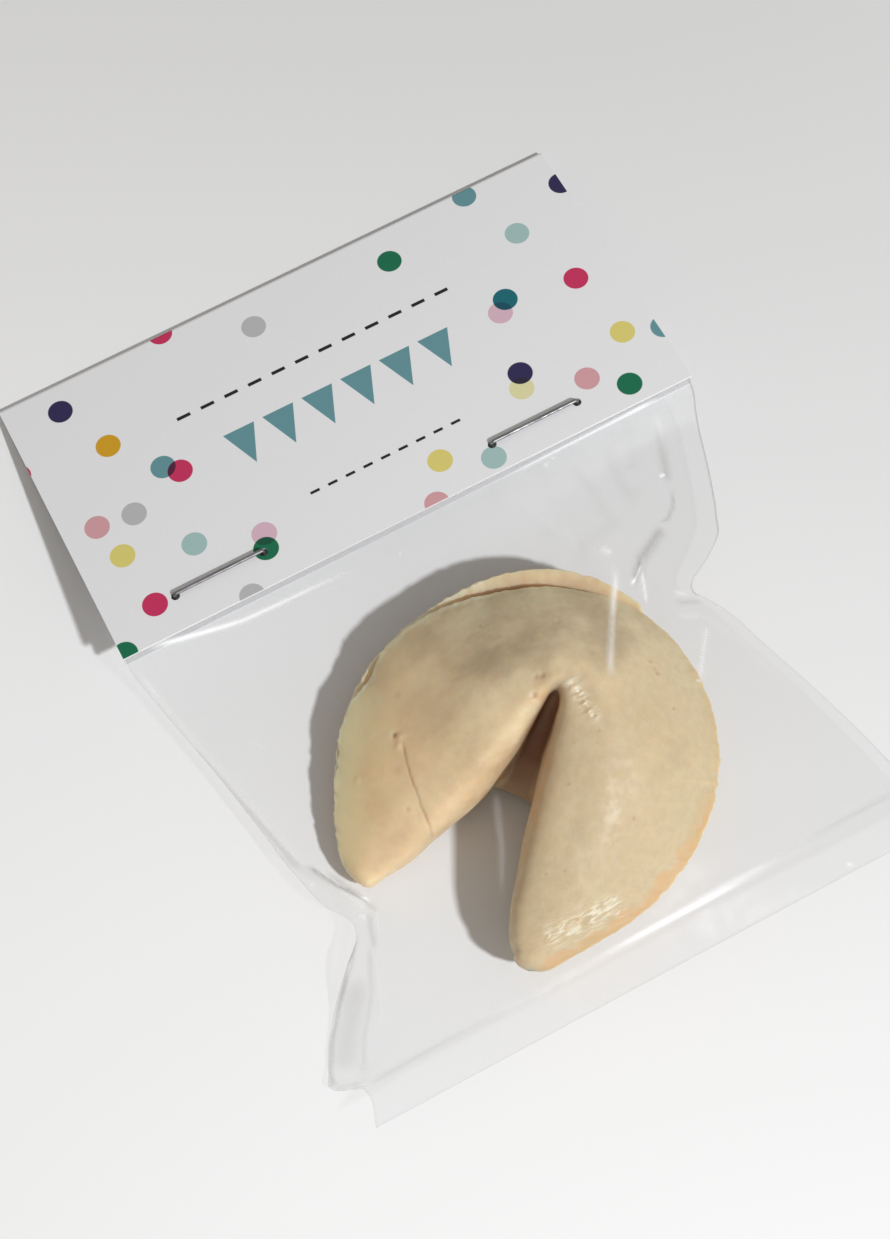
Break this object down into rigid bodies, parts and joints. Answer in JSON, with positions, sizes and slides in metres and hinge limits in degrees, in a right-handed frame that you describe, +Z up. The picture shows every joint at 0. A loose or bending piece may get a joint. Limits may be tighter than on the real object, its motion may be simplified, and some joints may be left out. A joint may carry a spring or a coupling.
{
  "type": "fortune cookie in a clear bag",
  "caption": "Thin crisp wafer cookie, folded and bent into horns, lying in a clear film bag that a folded white header card closes with staples.",
  "frame": {"origin": "on the resting surface, under the middle of the whole pack", "axes": "+Y runs along the bag towards the header card, +Z is up, and +X runs along the card's fold"},
  "size_m": [0.08, 0.1041, 0.0193],
  "materials": {
    "baked_crust": "baked wafer, dull with a slight sheen, toasted at the rim",
    "clear_film": "thin clear glossy film",
    "card_stock": "smooth white card with printed round dots",
    "staple_wire": "bright plated wire"
  },
  "bodies": {
    "root": {"cookie": "baked_crust", "bag": "clear_film", "header_card": "card_stock", "staple_left": "staple_wire", "staple_right": "staple_wire"}
  },
  "joints": []
}
